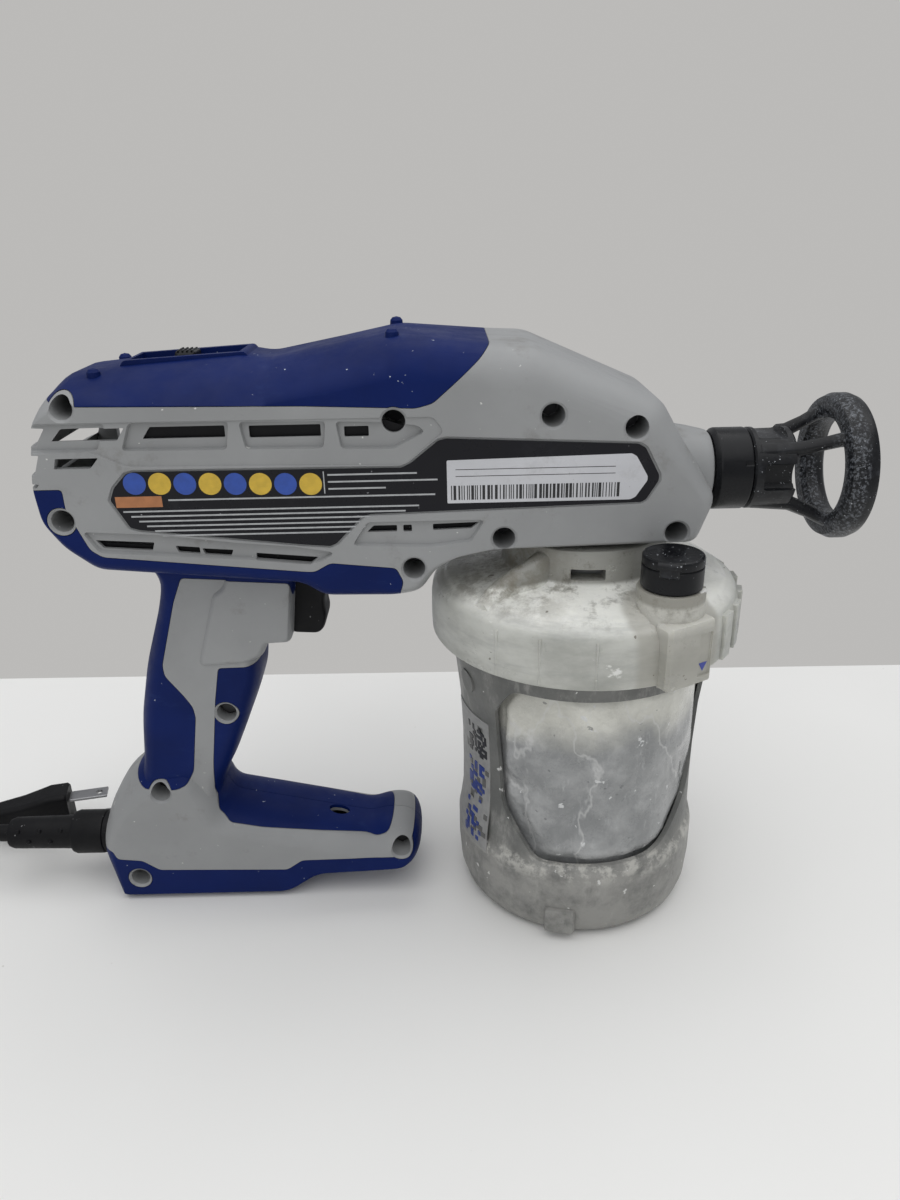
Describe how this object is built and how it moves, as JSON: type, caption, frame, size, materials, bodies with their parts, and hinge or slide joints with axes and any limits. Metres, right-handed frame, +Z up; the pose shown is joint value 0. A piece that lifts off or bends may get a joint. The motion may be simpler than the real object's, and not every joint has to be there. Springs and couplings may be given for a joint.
{
  "type": "airless paint sprayer",
  "caption": "Hand-held airless paint sprayer with a barrel body, pistol grip on a flat base, screw-on paint cup, spray guard and mains lead.",
  "frame": {"origin": "centre of the underside of the paint cup, on the surface that the sprayer stands on", "axes": "+X out of the nozzle, +Z up, +Y to the operator's left"},
  "size_m": [0.4923, 0.1266, 0.251],
  "materials": {
    "grey_plastic": "moulded grey plastic with a fine texture",
    "blue_rubber": "soft navy overmould, worn",
    "black_plastic": "glossy black plastic",
    "black_rubber": "matt black rubber",
    "milky_plastic": "translucent milky plastic",
    "cup_grey": "grey plastic, stained",
    "clear_liner": "thin translucent film",
    "steel": "machined steel",
    "brass": "plain",
    "copper": "copper winding and segments",
    "nylon": "natural nylon",
    "board_green": "circuit board",
    "label_black": "printed film",
    "label_white": "printed film"
  },
  "bodies": {
    "sprayer": {"right_housing": "grey_plastic", "left_housing": "grey_plastic", "top_cover": "blue_rubber", "right_rear_grip_overmould": "blue_rubber", "left_rear_grip_overmould": "blue_rubber", "right_front_grip_overmould": "blue_rubber", "left_front_grip_overmould": "blue_rubber", "right_base_overmould": "blue_rubber", "left_base_overmould": "blue_rubber", "case_screw_1": "steel", "case_screw_2": "steel", "case_screw_3": "steel", "case_screw_4": "steel", "case_screw_5": "steel", "case_screw_6": "steel", "case_screw_7": "steel", "case_screw_8": "steel", "case_screw_9": "steel", "case_screw_10": "steel", "case_screw_11": "steel", "case_screw_12": "steel", "trigger_spring": "steel", "motor_stator": "steel", "pump_block": "steel", "outlet_valve_housing": "steel", "warning_label": "label_black", "data_plate": "label_white", "trigger_switch": "black_plastic", "speed_switch_body": "black_plastic", "circuit_board": "board_green", "motor_rear_bracket": "nylon", "motor_front_bracket": "nylon", "inlet_strainer": "nylon", "plug_blade_wide": "brass", "plug_blade_narrow": "brass", "strain_relief": "black_rubber", "power_cord": "black_rubber", "plug_body": "black_rubber"},
    "trigger_body": {"trigger": "black_plastic"},
    "slide_body": {"speed_slide": "black_plastic"},
    "armature": {"armature_shaft": "steel", "armature_core": "copper", "commutator": "copper", "cooling_fan": "nylon", "motor_pinion": "brass"},
    "pump_drive": {"drive_gear": "nylon", "swash_plate": "steel"},
    "piston_1": {"pump_piston_1": "steel"},
    "piston_2": {"pump_piston_2": "steel"},
    "piston_3": {"pump_piston_3": "steel"},
    "needle": {"valve_needle": "steel"},
    "nut": {"retaining_nut": "black_plastic"},
    "guard": {"tip_guard": "black_plastic"},
    "tip": {"spray_tip": "blue_rubber"},
    "cover": {"cup_cover": "milky_plastic", "cover_gasket": "black_rubber", "valve_cap_base": "black_plastic"},
    "cap_lid": {"valve_cap_lid": "black_plastic"},
    "cup": {"cup_support": "cup_grey", "cup_liner": "clear_liner"}
  },
  "joints": [
    {"name": "trigger_pull", "type": "hinge", "parent": "sprayer", "child": "trigger_body", "pos_m": [-0.117, 0, 0.151], "axis": [0, 1, 0], "range_deg": [0, 11], "stiffness_Nm_per_rad": 0.6, "springref_deg": -8.59},
    {"name": "speed_slide_move", "type": "slide", "parent": "sprayer", "child": "slide_body", "axis": [1, 0, 0], "range_m": [-0.008, 0.01]},
    {"name": "pump_drive_spin", "type": "hinge", "parent": "sprayer", "child": "pump_drive", "pos_m": [-0.1, 0, 0.1925], "axis": [1, 0, 0], "continuous": true},
    {"name": "armature_spin", "type": "hinge", "parent": "sprayer", "child": "armature", "pos_m": [-0.13, 0, 0.2145], "axis": [1, 0, 0], "continuous": true},
    {"name": "piston_1_stroke", "type": "slide", "parent": "sprayer", "child": "piston_1", "axis": [1, 0, 0], "range_m": [0, 0.0042], "stiffness_N_per_m": 500, "springref_m": -0.004},
    {"name": "piston_2_stroke", "type": "slide", "parent": "sprayer", "child": "piston_2", "axis": [1, 0, 0], "range_m": [0, 0.0042], "stiffness_N_per_m": 500, "springref_m": -0.004},
    {"name": "piston_3_stroke", "type": "slide", "parent": "sprayer", "child": "piston_3", "axis": [1, 0, 0], "range_m": [0, 0.0042], "stiffness_N_per_m": 500, "springref_m": -0.004},
    {"name": "needle_lift", "type": "slide", "parent": "sprayer", "child": "needle", "axis": [-1, 0, 0], "range_m": [0, 0.001], "stiffness_N_per_m": 800, "springref_m": -0.004},
    {"name": "nut_turn", "type": "hinge", "parent": "sprayer", "child": "nut", "pos_m": [0.055, 0, 0.1925], "axis": [1, 0, 0], "continuous": true},
    {"name": "guard_turn", "type": "hinge", "parent": "sprayer", "child": "guard", "pos_m": [0.075, 0, 0.1925], "axis": [1, 0, 0], "range_deg": [-90, 90]},
    {"name": "tip_reverse", "type": "hinge", "parent": "guard", "child": "tip", "pos_m": [0.0715, 0, 0.1925], "axis": [0, 1, 0], "range_deg": [0, 180]},
    {"name": "cover_lock", "type": "hinge", "parent": "sprayer", "child": "cover", "pos_m": [0, 0, 0.15], "axis": [0, 0, 1], "range_deg": [-40, 0]},
    {"name": "cap_lid_open", "type": "hinge", "parent": "cover", "child": "cap_lid", "pos_m": [0.02163, -0.05693, 0.1718], "axis": [0.9426, -0.3338, 0], "range_deg": [0, 110]},
    {"name": "cup_turn", "type": "hinge", "parent": "cover", "child": "cup", "pos_m": [0, 0, 0.07], "axis": [0, 0, 1], "range_deg": [0, 30]}
  ],
  "couplings": [
    {"joint": "armature_spin", "follows": "pump_drive_spin", "ratio": -4}
  ]
}
